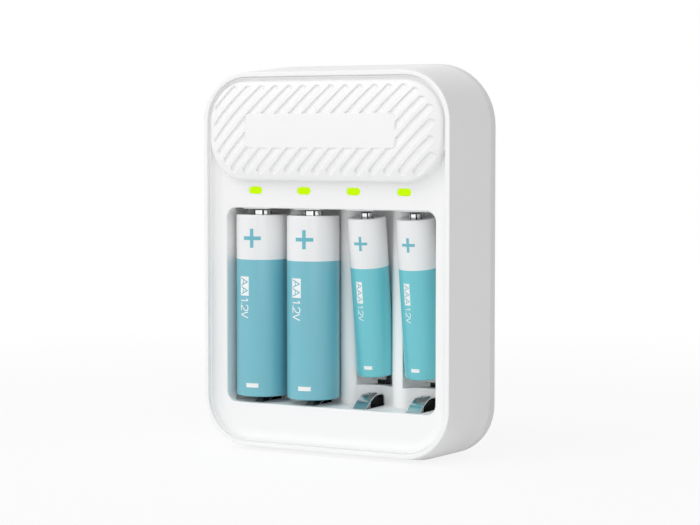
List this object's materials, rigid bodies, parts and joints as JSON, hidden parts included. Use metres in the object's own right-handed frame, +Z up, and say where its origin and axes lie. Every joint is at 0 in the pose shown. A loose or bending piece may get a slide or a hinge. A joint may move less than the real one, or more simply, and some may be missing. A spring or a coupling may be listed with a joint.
{
  "type": "battery charger",
  "caption": "Upright charger with a row of open bays for round cells, status lamps above them, a raised ribbed cover and sprung lower contacts.",
  "frame": {"origin": "centre of the bottom of the bounding box, on the surface that the charger stands on", "axes": "+Z up along the cells, -Y out of the front with the bays, +X to the right as seen from the front"},
  "size_m": [0.0786, 0.0274, 0.104],
  "materials": {
    "white_shell": "satin",
    "back_shell": "satin",
    "lamp": "gloss",
    "lamp_body": "satin",
    "board": "satin",
    "dark_part": "matte",
    "can": "satin",
    "bright_metal": "polished",
    "bus": "satin",
    "screw": "satin",
    "large_cell": "gloss",
    "small_cell": "gloss"
  },
  "bodies": {
    "charger": {"main_shell": "white_shell", "back_cover": "back_shell", "front_panel": "white_shell", "ribbed_cover": "white_shell", "battery_tray": "white_shell", "light_pipe_1": "lamp", "light_pipe_2": "lamp", "light_pipe_3": "lamp", "light_pipe_4": "lamp", "circuit_board": "board", "charge_controller": "dark_part", "inductor": "dark_part", "capacitors": "can", "status_leds": "lamp_body", "inlet_shell": "bright_metal", "inlet_tongue": "dark_part", "positive_contact_1": "bright_metal", "positive_contact_2": "bright_metal", "positive_contact_3": "bright_metal", "positive_contact_4": "bright_metal", "negative_bus": "bus", "case_screws": "screw", "board_screws": "screw", "aa_cell_1": "large_cell", "aa_cell_2": "large_cell", "aaa_cell_1": "small_cell", "aaa_cell_2": "small_cell"},
    "aa_contact_1_leaf": {"aa_contact_1": "bright_metal"},
    "aaa_contact_1_leaf": {"aaa_contact_1": "bright_metal"},
    "aa_contact_2_leaf": {"aa_contact_2": "bright_metal"},
    "aaa_contact_2_leaf": {"aaa_contact_2": "bright_metal"},
    "aa_contact_3_leaf": {"aa_contact_3": "bright_metal"},
    "aaa_contact_3_leaf": {"aaa_contact_3": "bright_metal"},
    "aa_contact_4_leaf": {"aa_contact_4": "bright_metal"},
    "aaa_contact_4_leaf": {"aaa_contact_4": "bright_metal"}
  },
  "joints": [
    {"name": "aa_contact_1_press", "type": "slide", "parent": "charger", "child": "aa_contact_1_leaf", "axis": [0, 0, -1], "range_m": [0, 0.0005], "stiffness_N_per_m": 1300},
    {"name": "aaa_contact_1_press", "type": "slide", "parent": "charger", "child": "aaa_contact_1_leaf", "axis": [0, 0, -1], "range_m": [0, 0.0019], "stiffness_N_per_m": 1500},
    {"name": "aa_contact_2_press", "type": "slide", "parent": "charger", "child": "aa_contact_2_leaf", "axis": [0, 0, -1], "range_m": [0, 0.0005], "stiffness_N_per_m": 1300},
    {"name": "aaa_contact_2_press", "type": "slide", "parent": "charger", "child": "aaa_contact_2_leaf", "axis": [0, 0, -1], "range_m": [0, 0.0019], "stiffness_N_per_m": 1500},
    {"name": "aa_contact_3_press", "type": "slide", "parent": "charger", "child": "aa_contact_3_leaf", "axis": [0, 0, -1], "range_m": [0, 0.0028], "stiffness_N_per_m": 1300},
    {"name": "aaa_contact_3_press", "type": "slide", "parent": "charger", "child": "aaa_contact_3_leaf", "axis": [0, 0, -1], "range_m": [0, 0.0006], "stiffness_N_per_m": 1500},
    {"name": "aa_contact_4_press", "type": "slide", "parent": "charger", "child": "aa_contact_4_leaf", "axis": [0, 0, -1], "range_m": [0, 0.0028], "stiffness_N_per_m": 1300},
    {"name": "aaa_contact_4_press", "type": "slide", "parent": "charger", "child": "aaa_contact_4_leaf", "axis": [0, 0, -1], "range_m": [0, 0.0006], "stiffness_N_per_m": 1500}
  ]
}
